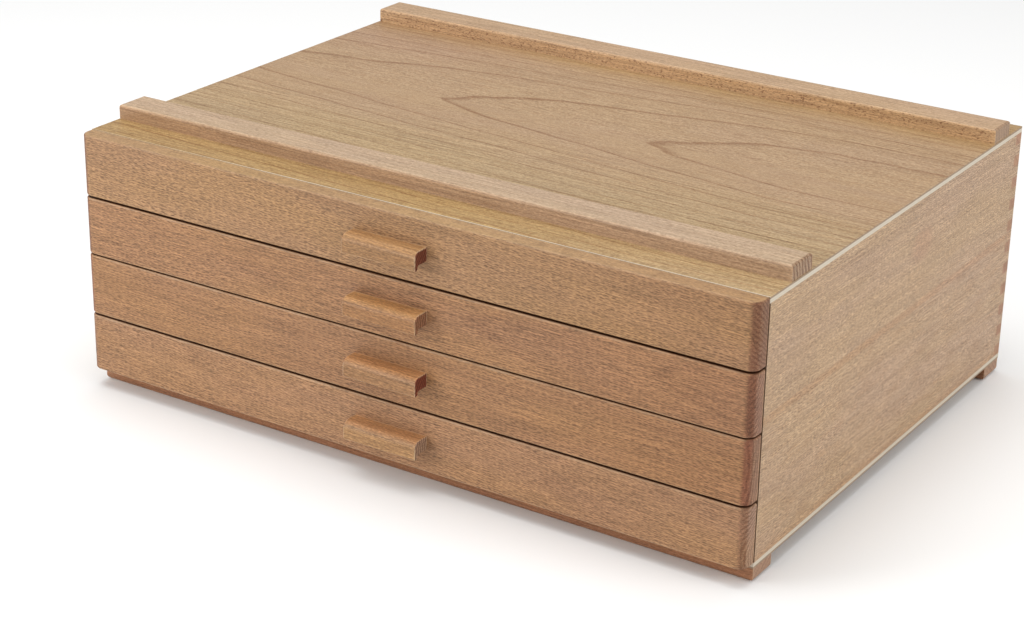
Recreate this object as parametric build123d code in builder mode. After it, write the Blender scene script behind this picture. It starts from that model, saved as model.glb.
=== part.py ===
from build123d import *
import os

# A beech pencil box with four shallow drawers, all sizes in millimetres.
# +X is to the right, +Y runs from the drawer fronts to the back, +Z is up.
# The origin is on the floor, at the middle of the whole box with its pulls.

# Case: thin panels over and under a frame of two sides and a back
case_width = 400.0
case_depth = 294.3
case_height = 136.4  # both thin panels included
panel_thick = 3.0
panel_overhang = 0.8  # how far both panels reach past the front edges of the sides
side_thick = 7.2
back_thick = 7.2
finger_count = 21  # fingers in a rear corner; the back board has the first and the last

# Rails: two battens on the top panel and two feet under the bottom panel
batten_depth = 19.8
batten_height = 8.0
foot_depth = 18.3
foot_height = 8.0
front_batten_setback = 20.7
rear_batten_setback = 18.3
rail_end_inset = 0.3
batten_ease = 1.5
foot_ease = 2.6

# Drawer fronts, the top one first. They share the height of the case; a trim is what a
# front is higher than an equal share, and the lowest front takes what the others leave.
front_count = 4
front_trims = [0.95, -1.0, 0.9]
front_base_rise = 2.6  # from the underside of the case to the lowest front
front_thick = 9.3
front_spacings = [1.1, 0.7, 1.05]  # the lines between the fronts
front_gap = 1.2  # between the fronts and the sides
front_corner_radius = 5.5
front_ease = 1.0

# Pulls
pull_length = 44.0
pull_depth = 10.2
pull_height = 7.3  # where it meets the front
pull_lip_drop = 2.5
pull_lip_thick = 2.4
pull_top_round = 4.2
pull_lip_round = 0.9
pull_cove_radius = 1.4
pull_ease = 0.4
pull_rises = [3.5, 4.15, 4.7, 4.05]  # from the middle of each front to the top of its pull

# Runners for the upper three drawers
runner_width = 8.0
runner_height = 5.0
runner_setback = 1.0

# Drawer boxes
drawer_board = 7.0
drawer_bottom_thick = 3.0
drawer_bottom_rise = 2.0  # from the lower edge of the sides
housing_depth = 4.0  # how far the sides and the bottom go into the front
groove_depth = 3.0
drawer_back_setback = 5.0
drawer_rear_gap = 2.0
divider_thick = 5.0
divider_housing = 2.0
divider_drop = 2.0  # from the top of the drawer sides
drawer_ease = 0.6

# Clearances
slide_clearance = 0.3  # under a drawer
head_clearance = 0.5  # over a drawer
drawer_side_gap = 0.8
groove_clearance = 0.2
hole_clearance = 0.1

# Screws and pins
screw_radius = 1.5
screw_head_radius = 2.8
screw_tip = 2.5
screw_slot_width = 0.8
screw_slot_depth = 0.9
rail_screw_count = 4
rail_screw_margin = 35.0  # from a rail's end to its first screw
rail_screw_cover = 2.0  # wood left beyond a screw's tip
pull_screw_margin = 9.5  # from a pull's end to its screw
pull_screw_cover = 4.2
pin_radius = 0.7
pin_head_radius = 1.4
pin_head_thick = 0.8
pin_count = 3
pin_margin = 23.0  # from a runner's end to its first pin
pin_cover = 2.2

# Depth: the pulls reach furthest forward, the case furthest back
overall_depth = pull_depth + front_thick + front_gap + case_depth
pull_face = -overall_depth / 2
front_face = pull_face + pull_depth
front_back = front_face + front_thick
case_front = front_back + front_gap
case_back = case_front + case_depth
bay_back = case_back - back_thick
drawer_end = bay_back - drawer_rear_gap

# Width
case_half = case_width / 2
bay_half = case_half - side_thick
runner_half = bay_half - runner_width
drawer_half = bay_half - drawer_side_gap
drawer_inner_half = drawer_half - drawer_board
rail_half = case_half - rail_end_inset

# Height
case_low = foot_height
bay_low = case_low + panel_thick
case_high = case_low + case_height
bay_high = case_high - panel_thick

# Each drawer's front runs from front_lows to front_highs
front_share = (case_height - front_base_rise - sum(front_spacings)) / front_count
front_highs = [case_high]
front_lows = []
for trim, spacing in zip(front_trims, front_spacings):
    front_lows.append(front_highs[-1] - front_share - trim)
    front_highs.append(front_lows[-1] - spacing)
front_lows.append(case_low + front_base_rise)

# A runner lies behind each line between two fronts
runner_levels = [low - spacing / 2 for low, spacing in zip(front_lows, front_spacings)]
runner_highs = [level + runner_height / 2 for level in runner_levels]
runner_lows = [level - runner_height / 2 for level in runner_levels]
box_lows = [high + slide_clearance for high in runner_highs + [bay_low]]
box_highs = [low - head_clearance for low in [bay_high] + runner_lows]

sides = {"left": -1, "right": 1}

os.makedirs("parts", exist_ok=True)


def block(low, high, mode=Mode.ADD):
    """Add or cut a rectangular block between two opposite corners."""
    size = [abs(b - a) for a, b in zip(low, high)]
    middle = tuple((a + b) / 2 for a, b in zip(low, high))
    with Locations(middle):
        Box(*size, mode=mode)


def save(builder, name):
    """Label a finished piece and write it to its own file."""
    builder.part.label = name
    export_step(builder.part, f"parts/{name}.step")


def screw(length):
    """A countersunk slotted screw, head at the origin, pointing down."""
    head_thick = screw_head_radius - screw_radius
    with BuildPart() as piece:
        with BuildSketch(Plane.XZ):
            with BuildLine():
                Polyline(
                    (0, 0),
                    (screw_head_radius, 0),
                    (screw_radius, -head_thick),
                    (screw_radius, -length + screw_tip),
                    (0, -length),
                    close=True,
                )
            make_face()
        revolve(axis=Axis.Z)
        slot_reach = screw_head_radius + screw_slot_width
        block(
            (-slot_reach, -screw_slot_width / 2, -screw_slot_depth),
            (slot_reach, screw_slot_width / 2, screw_slot_depth),
            mode=Mode.SUBTRACT,
        )
    return piece.part


def screw_hole(length):
    """Cut the hole that such a screw fills, at the active locations."""
    CounterSinkHole(
        radius=screw_radius + hole_clearance,
        counter_sink_radius=screw_head_radius + hole_clearance,
        depth=length + hole_clearance,
        counter_sink_angle=90,
    )


def pin(length):
    """A panel pin, head at the origin, pointing down."""
    with BuildPart() as piece:
        with BuildSketch(Plane.XZ):
            with BuildLine():
                Polyline(
                    (0, 0),
                    (pin_head_radius, 0),
                    (pin_head_radius, -pin_head_thick),
                    (pin_radius, -pin_head_thick),
                    (pin_radius, -length + pin_radius),
                    (0, -length),
                    close=True,
                )
            make_face()
        revolve(axis=Axis.Z)
    return piece.part


def pin_hole(length):
    """Cut the hole that such a pin fills, at the active locations."""
    CounterBoreHole(
        radius=pin_radius + hole_clearance,
        counter_bore_radius=pin_head_radius + hole_clearance,
        counter_bore_depth=pin_head_thick,
        depth=length + hole_clearance,
    )


def rail(name, front, depth, low, height, screw_places, screw_length, ease, eased_side):
    """A rail across the case, its edges rounded on the side away from the panel."""
    with BuildPart() as piece:
        block((-rail_half, front, low), (rail_half, front + depth, low + height))
        outer_face = piece.faces().sort_by(Axis.Z)[eased_side]
        fillet(outer_face.edges(), ease)
        with Locations(*screw_places):
            screw_hole(screw_length)
    save(piece, name)


def spread(low, high, margin, count):
    """Evenly spaced places between two ends, the outer ones a margin from the ends."""
    step = (high - low - 2 * margin) / (count - 1)
    return [low + margin + step * index for index in range(count)]


# Panels, and the rails that are screwed to them from inside the case
batten_screw_length = panel_thick + batten_height - rail_screw_cover
foot_screw_length = panel_thick + foot_height - rail_screw_cover
front_batten_front = case_front + front_batten_setback
rear_batten_front = case_back - rear_batten_setback - batten_depth
rear_foot_front = case_back - foot_depth
panel_front = case_front - panel_overhang


def rail_screw_places(front, depth, level, turn):
    """Screw places along the middle of a rail, turned to point into it."""
    middle = front + depth / 2
    return [
        Location((place, middle, level), (turn, 0, 0))
        for place in spread(-rail_half, rail_half, rail_screw_margin, rail_screw_count)
    ]


front_batten_screws = rail_screw_places(front_batten_front, batten_depth, bay_high, 180)
rear_batten_screws = rail_screw_places(rear_batten_front, batten_depth, bay_high, 180)
front_foot_screws = rail_screw_places(case_front, foot_depth, bay_low, 0)
rear_foot_screws = rail_screw_places(rear_foot_front, foot_depth, bay_low, 0)

with BuildPart() as top_panel:
    block((-case_half, panel_front, bay_high), (case_half, case_back, case_high))
    with Locations(*front_batten_screws, *rear_batten_screws):
        screw_hole(batten_screw_length)
save(top_panel, "top_panel")

with BuildPart() as bottom_panel:
    block((-case_half, panel_front, case_low), (case_half, case_back, bay_low))
    with Locations(*front_foot_screws, *rear_foot_screws):
        screw_hole(foot_screw_length)
save(bottom_panel, "bottom_panel")

battens = {
    "front_top_batten": (front_batten_front, front_batten_screws),
    "rear_top_batten": (rear_batten_front, rear_batten_screws),
}
for name, (front, places) in battens.items():
    rail(
        name,
        front,
        batten_depth,
        case_high,
        batten_height,
        places,
        batten_screw_length,
        batten_ease,
        -1,
    )

feet = {
    "front_foot_rail": (case_front, front_foot_screws),
    "rear_foot_rail": (rear_foot_front, rear_foot_screws),
}
for name, (front, places) in feet.items():
    rail(
        name,
        front,
        foot_depth,
        case_low - foot_height,
        foot_height,
        places,
        foot_screw_length,
        foot_ease,
        0,
    )

with BuildPart() as top_batten_screws:
    with Locations(*front_batten_screws, *rear_batten_screws):
        add(screw(batten_screw_length))
save(top_batten_screws, "top_batten_screws")

with BuildPart() as foot_rail_screws:
    with Locations(*front_foot_screws, *rear_foot_screws):
        add(screw(foot_screw_length))
save(foot_rail_screws, "foot_rail_screws")

# Runners, pinned to the inside of the case's sides
runner_front = case_front + runner_setback
pin_length = runner_width + side_thick - pin_cover


def runner_pin_places(side, level):
    """Pin places along the middle of a runner, pointing into the case's side."""
    return [
        Location((side * runner_half, place, level), (0, -90 * side, 0))
        for place in spread(runner_front, bay_back, pin_margin, pin_count)
    ]


for side_name, side in sides.items():
    for number, level in enumerate(runner_levels, start=1):
        with BuildPart() as runner:
            block(
                (side * runner_half, runner_front, level - runner_height / 2),
                (side * bay_half, bay_back, level + runner_height / 2),
            )
            with Locations(*runner_pin_places(side, level)):
                pin_hole(pin_length)
        save(runner, f"{side_name}_runner_{number}")

all_pin_places = {
    side: [place for level in runner_levels for place in runner_pin_places(side, level)]
    for side in sides.values()
}
with BuildPart() as runner_pins:
    for places in all_pin_places.values():
        with Locations(*places):
            add(pin(pin_length))
save(runner_pins, "runner_pins")

# Sides and back, finger-jointed at the rear corners
finger_height = (bay_high - bay_low) / finger_count
finger_lows = [bay_low + finger_height * index for index in range(finger_count)]
back_fingers = finger_lows[0::2]
side_fingers = finger_lows[1::2]

for side_name, side in sides.items():
    with BuildPart() as side_panel:
        block((side * bay_half, case_front, bay_low), (side * case_half, case_back, bay_high))
        for low in back_fingers:
            block(
                (side * bay_half, bay_back, low),
                (side * case_half, case_back, low + finger_height),
                mode=Mode.SUBTRACT,
            )
        with Locations(*all_pin_places[side]):
            Hole(pin_radius + hole_clearance, depth=pin_length + hole_clearance)
    save(side_panel, f"{side_name}_side_panel")

with BuildPart() as back_panel:
    block((-case_half, bay_back, bay_low), (case_half, case_back, bay_high))
    for side in sides.values():
        for low in side_fingers:
            block(
                (side * bay_half, bay_back, low),
                (side * case_half, case_back, low + finger_height),
                mode=Mode.SUBTRACT,
            )
save(back_panel, "back_panel")

# Drawers
drawer_back_rear = drawer_end - drawer_back_setback
drawer_back_front = drawer_back_rear - drawer_board
housing_front = front_back - housing_depth
divider_half = divider_thick / 2
divider_slot_half = divider_half + groove_clearance / 2
pull_half = pull_length / 2
pull_screw_length = front_thick + pull_depth - pull_screw_cover


def make_pull(name, top, screw_places):
    """A pull with a rounded top and a lip that hangs at its front."""
    root = front_face
    lip_back = pull_face + pull_lip_thick
    underside = top - pull_height
    lip_low = underside - pull_lip_drop
    with BuildPart() as pull:
        with BuildSketch(Plane.YZ):
            with BuildLine():
                FilletPolyline(
                    (root, top),
                    (pull_face, top),
                    (pull_face, lip_low),
                    (lip_back, lip_low),
                    (lip_back, underside),
                    (root, underside),
                    radius=[0, pull_top_round, pull_lip_round, pull_lip_round, pull_cove_radius, 0],
                    close=True,
                )
            make_face()
        extrude(amount=pull_half, both=True)
        ends = pull.faces().filter_by(Axis.X)
        end_edges = ends.edges().filter_by(lambda edge: edge.center().Y < root - pull_ease)
        fillet(end_edges, pull_ease)
        with Locations(*screw_places):
            screw_hole(pull_screw_length)
    save(pull, name)


def make_front(name, low, high, box_low, box_high, screw_places):
    """A drawer front, housed at its back for the sides, the bottom and the divider."""
    bottom_low = box_low + drawer_bottom_rise
    bottom_high = bottom_low + drawer_bottom_thick
    with BuildPart() as front:
        with BuildSketch(Plane.XY.offset(low)) as outline:
            with Locations((0, (front_face + front_back) / 2)):
                Rectangle(case_width, front_thick)
            fillet(outline.vertices().group_by(Axis.Y)[0], front_corner_radius)
        extrude(amount=high - low)
        long_edges = front.faces().filter_by(Axis.Z).edges()
        fillet(long_edges.filter_by(lambda edge: edge.center().Y < front_back - front_ease), front_ease)
        for side in sides.values():
            block(
                (side * drawer_inner_half, housing_front, box_low),
                (side * drawer_half, front_back, box_high),
                mode=Mode.SUBTRACT,
            )
        block(
            (-drawer_inner_half, housing_front, bottom_low),
            (drawer_inner_half, front_back, bottom_high + groove_clearance),
            mode=Mode.SUBTRACT,
        )
        block(
            (-divider_slot_half, front_back - divider_housing, bottom_high),
            (divider_slot_half, front_back, box_high),
            mode=Mode.SUBTRACT,
        )
        with Locations(*screw_places):
            screw_hole(pull_screw_length)
    save(front, name)


def make_drawer(number, low, high, box_low, box_high, pull_top):
    """All the pieces of one drawer, its front between low and high."""
    name = f"drawer_{number}"
    bottom_low = box_low + drawer_bottom_rise
    bottom_high = bottom_low + drawer_bottom_thick
    pull_level = pull_top - pull_height / 2
    pull_screws = [
        Location((side * (pull_half - pull_screw_margin), front_back, pull_level), (-90, 0, 0))
        for side in sides.values()
    ]
    make_front(f"{name}_front", low, high, box_low, box_high, pull_screws)
    make_pull(f"{name}_pull", pull_top, pull_screws)

    with BuildPart() as screws:
        with Locations(*pull_screws):
            add(screw(pull_screw_length))
    save(screws, f"{name}_pull_screws")

    # Sides, grooved for the bottom and housed for the back
    for side_name, side in sides.items():
        inner = side * drawer_inner_half
        with BuildPart() as drawer_side:
            block((inner, housing_front, box_low), (side * drawer_half, drawer_end, box_high))
            top_edges = drawer_side.faces().sort_by(Axis.Z)[-1].edges().filter_by(Axis.Y)
            fillet(top_edges, drawer_ease)
            block(
                (inner, housing_front, bottom_low),
                (inner + side * groove_depth, drawer_end, bottom_high + groove_clearance),
                mode=Mode.SUBTRACT,
            )
            block(
                (inner, drawer_back_front, bottom_high),
                (inner + side * groove_depth, drawer_back_rear, box_high),
                mode=Mode.SUBTRACT,
            )
        save(drawer_side, f"{name}_{side_name}_side")

    # Bottom, held in the grooves and running under the back
    bottom_half = drawer_inner_half + groove_depth - groove_clearance
    with BuildPart() as bottom:
        block(
            (-bottom_half, housing_front + groove_clearance, bottom_low),
            (bottom_half, drawer_back_rear, bottom_high),
        )
    save(bottom, f"{name}_bottom")

    # Back, standing on the bottom
    back_half = drawer_inner_half + groove_depth
    with BuildPart() as back:
        block((-back_half, drawer_back_front, bottom_high), (back_half, drawer_back_rear, box_high))
        block(
            (-divider_slot_half, drawer_back_front, bottom_high),
            (divider_slot_half, drawer_back_front + divider_housing, box_high),
            mode=Mode.SUBTRACT,
        )
    save(back, f"{name}_back")

    # Divider, from front to back down the middle
    divider_front = front_back - divider_housing + groove_clearance / 2
    divider_rear = drawer_back_front + divider_housing - groove_clearance / 2
    with BuildPart() as divider:
        block(
            (-divider_half, divider_front, bottom_high),
            (divider_half, divider_rear, box_high - divider_drop),
        )
        top_edges = divider.faces().sort_by(Axis.Z)[-1].edges().filter_by(Axis.Y)
        fillet(top_edges, drawer_ease)
    save(divider, f"{name}_divider")


for index in range(front_count):
    make_drawer(
        index + 1,
        front_lows[index],
        front_highs[index],
        box_lows[index],
        box_highs[index],
        (front_lows[index] + front_highs[index]) / 2 + pull_rises[index],
    )
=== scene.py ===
import math
import random

import bpy
from mathutils import Matrix, Vector


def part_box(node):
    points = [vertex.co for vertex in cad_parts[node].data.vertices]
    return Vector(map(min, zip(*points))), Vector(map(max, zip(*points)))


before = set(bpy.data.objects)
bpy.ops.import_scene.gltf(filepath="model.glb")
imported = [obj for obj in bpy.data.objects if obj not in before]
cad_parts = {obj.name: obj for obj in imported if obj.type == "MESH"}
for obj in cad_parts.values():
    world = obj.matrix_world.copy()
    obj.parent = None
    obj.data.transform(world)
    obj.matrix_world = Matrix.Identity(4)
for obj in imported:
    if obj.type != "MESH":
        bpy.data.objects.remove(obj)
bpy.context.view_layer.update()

# A beech box of four shallow drawers, with battens on its top that seat the foot rails of
# a second box. Lengths are in millimetres where a name ends in MM or mm or a comment says
# so, and in metres elsewhere. A tint multiplies a colour, and a share goes from 0 to 1.

MM_PER_M = 1000.0
FLOAT, VECTOR, COLOUR = "NodeSocketFloat", "NodeSocketVector", "NodeSocketColor"


# ---------------------------------------------------------------- node helpers


def tone(red, green, blue):
    """A display colour from 0 to 255 as the linear colour that a shader takes."""

    def linear(level):
        level /= 255.0
        return level / 12.92 if level <= 0.04045 else ((level + 0.055) / 1.055) ** 2.4

    return (linear(red), linear(green), linear(blue), 1.0)


def put(tree, target, value):
    """Links a socket to an input, or sets a plain value on it."""
    if isinstance(value, bpy.types.NodeSocket):
        tree.links.new(value, target)
    else:
        target.default_value = value


def calc(tree, operation, *values, clamp=False):
    node = tree.nodes.new("ShaderNodeMath")
    node.operation = operation
    node.use_clamp = clamp
    for target, value in zip(node.inputs, values):
        put(tree, target, value)
    return node.outputs[0]


def times(tree, first, second, clamp=False):
    return calc(tree, "MULTIPLY", first, second, clamp=clamp)


def over(tree, first, second):
    return calc(tree, "DIVIDE", first, second)


def minus(tree, first, second):
    return calc(tree, "SUBTRACT", first, second)


def size_of(tree, value):
    """The value without its sign."""
    return calc(tree, "ABSOLUTE", value)


def add_up(tree, first, *terms):
    """first plus each (value, weight) in turn."""
    total = first
    for value, weight in terms:
        total = calc(tree, "MULTIPLY_ADD", value, weight, total)
    return total


def limited(tree, value):
    """The value, kept from 0 to 1."""
    return calc(tree, "ADD", value, 0.0, clamp=True)


def distance(tree, across, upwards):
    """How far a point of a plane lies from its origin."""
    return calc(tree, "SQRT", add_up(tree, times(tree, across, across), (upwards, upwards)))


def rise(tree, value, start, stop, low=0.0, high=1.0):
    """A smooth step from low to high as value goes from start to stop."""
    node = tree.nodes.new("ShaderNodeMapRange")
    node.interpolation_type = "SMOOTHSTEP"
    for target, given in zip(node.inputs, (value, start, stop, low, high)):
        put(tree, target, given)
    return node.outputs[0]


def split(tree, vector):
    node = tree.nodes.new("ShaderNodeSeparateXYZ")
    put(tree, node.inputs[0], vector)
    return node.outputs[0], node.outputs[1], node.outputs[2]


def join(tree, x, y, z):
    node = tree.nodes.new("ShaderNodeCombineXYZ")
    for target, value in zip(node.inputs, (x, y, z)):
        put(tree, target, value)
    return node.outputs[0]


def scaled(tree, vector, factor):
    node = tree.nodes.new("ShaderNodeVectorMath")
    node.operation = "SCALE"
    put(tree, node.inputs[0], vector)
    put(tree, node.inputs["Scale"], factor)
    return node.outputs[0]


def combined(tree, operation, first, second):
    node = tree.nodes.new("ShaderNodeVectorMath")
    node.operation = operation
    put(tree, node.inputs[0], first)
    put(tree, node.inputs[1], second)
    return node.outputs[0]


MIX_AMOUNT, MIX_FIRST, MIX_SECOND, MIX_RESULT = 0, 6, 7, 2  # the Mix node's colour sockets


def mixed(tree, amount, first, second, way="MIX"):
    node = tree.nodes.new("ShaderNodeMix")
    node.data_type = "RGBA"
    node.blend_type = way
    put(tree, node.inputs[MIX_AMOUNT], amount)
    put(tree, node.inputs[MIX_FIRST], first)
    put(tree, node.inputs[MIX_SECOND], second)
    return node.outputs[MIX_RESULT]


def tinted(tree, colour, tint):
    """The colour times a tint of four channels, or times another colour."""
    return mixed(tree, 1.0, colour, tint, "MULTIPLY")


def cast(tree, amount, colour, tint):
    """The colour with that share of a tint over it."""
    return mixed(tree, amount, colour, tinted(tree, colour, (*tint, 1.0)))


def noise(tree, vector, detail=2.0, roughness=0.5):
    """Noise about zero, from roughly -0.3 to 0.3."""
    node = tree.nodes.new("ShaderNodeTexNoise")
    put(tree, node.inputs["Vector"], vector)
    node.inputs["Scale"].default_value = 1.0
    node.inputs["Detail"].default_value = detail
    node.inputs["Roughness"].default_value = roughness
    return minus(tree, node.outputs[0], 0.5)


def new_group(name, inputs, outputs):
    """A shader node group, with its named inputs and outputs as sockets."""
    tree = bpy.data.node_groups.new(name, "ShaderNodeTree")
    for label, kind, value in inputs:
        socket = tree.interface.new_socket(label, in_out="INPUT", socket_type=kind)
        socket.default_value = value
    for label, kind in outputs:
        tree.interface.new_socket(label, in_out="OUTPUT", socket_type=kind)
    start = tree.nodes.new("NodeGroupInput")
    stop = tree.nodes.new("NodeGroupOutput")
    return tree, start.outputs, stop.inputs


def use_group(tree, group, **values):
    """Places a group, with its inputs by name, an underscore for each space."""
    node = tree.nodes.new("ShaderNodeGroup")
    node.node_tree = group
    for label, value in values.items():
        put(tree, node.inputs[label.replace("_", " ")], value)
    return node.outputs


# ---------------------------------------------------------------- beech figure

# For each pattern of the figure: how long its cells are along the grain and how wide across
# it in millimetres, how far a step of the seed moves it, and its detail.
PATTERNS = {
    "wander": (85.0, 26.0, 7.3, 2.0),  # how the rings leave a true circle
    "sway": (45.0, 14.0, 8.1, 1.0),  # how the rays bend
    "crowd": (40.0, 9.0, 3.1, 1.0),  # where the flecks stand thicker
    "mottle": (1.1, 0.4, 5.7, 1.0),
    "fibre": (30.0, 0.62, 1.9, 1.0),
    "patch": (120.0, 17.0, 2.3, 2.0),
    "grit": (1.7, 0.36, 3.7, 0.0),
    "lines": (55.0, 0.45, 6.1, 0.0),
    "blush": (85.0, 22.0, 4.3, 1.0),
}
WANDER_MM = 2.0
CROWDING_PER_MM = 0.11  # how quickly the spacing of the rings changes with their radius

# Where in a year's growth the wood darkens, its dark line comes and the next spring starts.
DARKENING, DARK_LINE, SPRING = (0.2, 0.96), (0.88, 0.965), (1.0, 0.97)
LEAST_RING = 0.4  # the share of its strength that the faintest ring keeps

RAY_RADIUS_MM = 80.0  # the radius at which a fleck has its given width
SWAY_MM = 5.0
FLECK_LAYER_MM = 6.0  # how much of the radius one layer of flecks takes
FLECK_LAYER_STEP = 7.3  # how far one layer's flecks lie from the next one's
FLECK_HALF_LENGTH, FLECK_HALF_WIDTH = 0.62, 0.26  # as shares of a fleck's cell
LEAST_FLECK = 0.5  # the share of its strength that the faintest fleck keeps

CLEAR_DEPTH = 0.32  # how far clear wood lies from the pale tone to the deep one
ROUNDED_END, FLAT_END = (0.08, 0.5), (0.8, 0.97)  # how squarely such a face cuts the grain
YELLOWER, PINKER = (1.02, 1.015, 0.96, 1.0), (0.985, 0.975, 1.01, 1.0)  # slow hue patches


def make_figure_group():
    """Beech on any face: rings round a heart line, ray flecks, fibres, mottle, fine grit and
    lines, and slow changes. Lengths are in millimetres. X runs along the grain, and the
    heart line passes through the origin."""
    tree, given, result = new_group(
        "beech figure",
        [
            ("Vector", VECTOR, (0.0, 0.0, 0.0)),
            ("Lean", VECTOR, (0.0, 0.0, 0.0)),
            ("Ring Width", FLOAT, 3.0),
            ("Ring Shift", FLOAT, 0.0),
            ("Ring Strength", FLOAT, 0.4),
            ("Ring Line", FLOAT, 0.55),
            ("Crowding", FLOAT, 1.2),
            ("Wander", FLOAT, 1.0),
            ("Fleck Length", FLOAT, 3.2),
            ("Fleck Width", FLOAT, 1.1),
            ("Fleck Strength", FLOAT, 0.5),
            ("Fibre", FLOAT, 0.3),
            ("Mottle", FLOAT, 1.0),
            ("Grit", FLOAT, 0.6),
            ("Lines", FLOAT, 0.4),
            ("Patches", FLOAT, 0.6),
            ("Blush", FLOAT, 1.0),
            ("Seed", FLOAT, 0.0),
            ("End", FLOAT, 0.0),
            ("End Rings", FLOAT, 0.7),
            ("Pale", COLOUR, tone(190, 155, 120)),
            ("Deep", COLOUR, tone(150, 110, 80)),
            ("Fleck", COLOUR, tone(110, 75, 50)),
            ("Cut End", COLOUR, tone(140, 95, 70)),
            ("Flat End", COLOUR, tone(170, 135, 115)),
        ],
        [("Color", COLOUR), ("Roughness", FLOAT), ("Height", FLOAT)],
    )
    seed = given["Seed"]
    along = split(tree, given["Vector"])[0]
    place = combined(tree, "ADD", given["Vector"], scaled(tree, given["Lean"], along))
    _, across, through = split(tree, place)

    def pattern(name):
        """The noise of one pattern, in cells that are stretched along the grain."""
        length, width, step, detail = PATTERNS[name]
        moved = add_up(tree, over(tree, through, width), (seed, step))
        stretched = join(tree, over(tree, along, length), over(tree, across, width), moved)
        return noise(tree, stretched, detail)

    # Rings
    wander = times(tree, pattern("wander"), given["Wander"])
    plain_radius = distance(tree, across, through)
    radius = add_up(tree, plain_radius, (wander, WANDER_MM))
    crowding = noise(tree, join(tree, times(tree, radius, CROWDING_PER_MM), seed, 0.0), 1.0)
    number = calc(tree, "ADD", over(tree, radius, given["Ring Width"]), given["Ring Shift"])
    number = add_up(tree, number, (crowding, given["Crowding"]))
    season = calc(tree, "FRACT", number)
    shade = calc(tree, "POWER", rise(tree, season, *DARKENING), 2.0)
    line = rise(tree, season, *DARK_LINE)
    late = add_up(tree, shade, (minus(tree, line, shade), given["Ring Line"]))
    late = times(tree, late, rise(tree, season, *SPRING))
    chance = tree.nodes.new("ShaderNodeTexWhiteNoise")
    chance.noise_dimensions = "2D"
    put(tree, chance.inputs["Vector"], join(tree, calc(tree, "FLOOR", number), seed, 0.0))
    strength = add_up(tree, LEAST_RING, (chance.outputs[0], 1.0 - LEAST_RING))
    ring = times(tree, late, strength)

    # Ray flecks: short dashes that lie in planes through the heart line
    turn = times(tree, calc(tree, "ARCTAN2", through, across), RAY_RADIUS_MM)
    turn = add_up(tree, turn, (pattern("sway"), SWAY_MM))
    layer = calc(tree, "FLOOR", over(tree, plain_radius, FLECK_LAYER_MM))
    per_length = over(tree, 1.0, given["Fleck Length"])
    dashes = join(
        tree,
        add_up(tree, seed, (along, per_length), (layer, FLECK_LAYER_STEP)),
        over(tree, turn, given["Fleck Width"]),
        0.0,
    )
    cells = tree.nodes.new("ShaderNodeTexVoronoi")
    cells.voronoi_dimensions = "2D"
    cells.inputs["Scale"].default_value = 1.0
    cells.inputs["Randomness"].default_value = 0.7
    put(tree, cells.inputs["Vector"], dashes)
    ahead, beside, _ = split(tree, combined(tree, "SUBTRACT", dashes, cells.outputs["Position"]))
    ahead = over(tree, ahead, FLECK_HALF_LENGTH)
    beside = over(tree, beside, FLECK_HALF_WIDTH)
    luck = split(tree, cells.outputs["Color"])[0]
    luck = add_up(tree, LEAST_FLECK, (luck, 1.0 - LEAST_FLECK))
    fleck = times(tree, rise(tree, distance(tree, ahead, beside), 1.0, 0.35), luck)
    fleck = times(tree, fleck, rise(tree, pattern("crowd"), -0.2, 0.15, 0.75, 1.0))

    # Colour
    mottle, fibre, patch = pattern("mottle"), pattern("fibre"), pattern("patch")
    depth = add_up(
        tree,
        CLEAR_DEPTH,
        (ring, given["Ring Strength"]),
        (patch, given["Patches"]),
        (fibre, given["Fibre"]),
        (mottle, given["Mottle"]),
    )
    colour = mixed(tree, limited(tree, depth), given["Pale"], given["Deep"])
    cut = rise(tree, given["End"], *ROUNDED_END)
    flat = rise(tree, given["End"], *FLAT_END)
    end_depth = add_up(tree, 0.2, (ring, given["End Rings"]), (mottle, 1.3), (patch, 0.8))
    end_tone = mixed(tree, flat, given["Cut End"], given["Flat End"])
    end_tone = mixed(tree, limited(tree, end_depth), end_tone, scaled(tree, end_tone, 0.5))
    colour = mixed(tree, cut, colour, end_tone)
    grit, lines = pattern("grit"), pattern("lines")
    level = add_up(tree, 1.0, (grit, given["Grit"]), (lines, given["Lines"]))
    colour = scaled(tree, colour, level)
    flecked = times(tree, fleck, given["Fleck Strength"], clamp=True)
    flecked = times(tree, flecked, add_up(tree, 1.0, (cut, -0.6)))
    colour = mixed(tree, flecked, colour, given["Fleck"])
    hue = mixed(tree, rise(tree, pattern("blush"), -0.22, 0.22), YELLOWER, PINKER)
    colour = mixed(tree, given["Blush"], colour, tinted(tree, colour, hue))

    roughness = add_up(tree, 0.47, (mottle, 0.25), (fibre, 0.15), (cut, 0.16), (fleck, 0.08))
    height = add_up(tree, 0.5, (mottle, 0.5), (fibre, 0.5), (fleck, -0.6), (ring, -0.25))
    put(tree, result["Color"], colour)
    put(tree, result["Roughness"], roughness)
    put(tree, result["Height"], height)
    return tree


# ---------------------------------------------------------------- worn edges with painted highlights, and plywood edges


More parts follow.
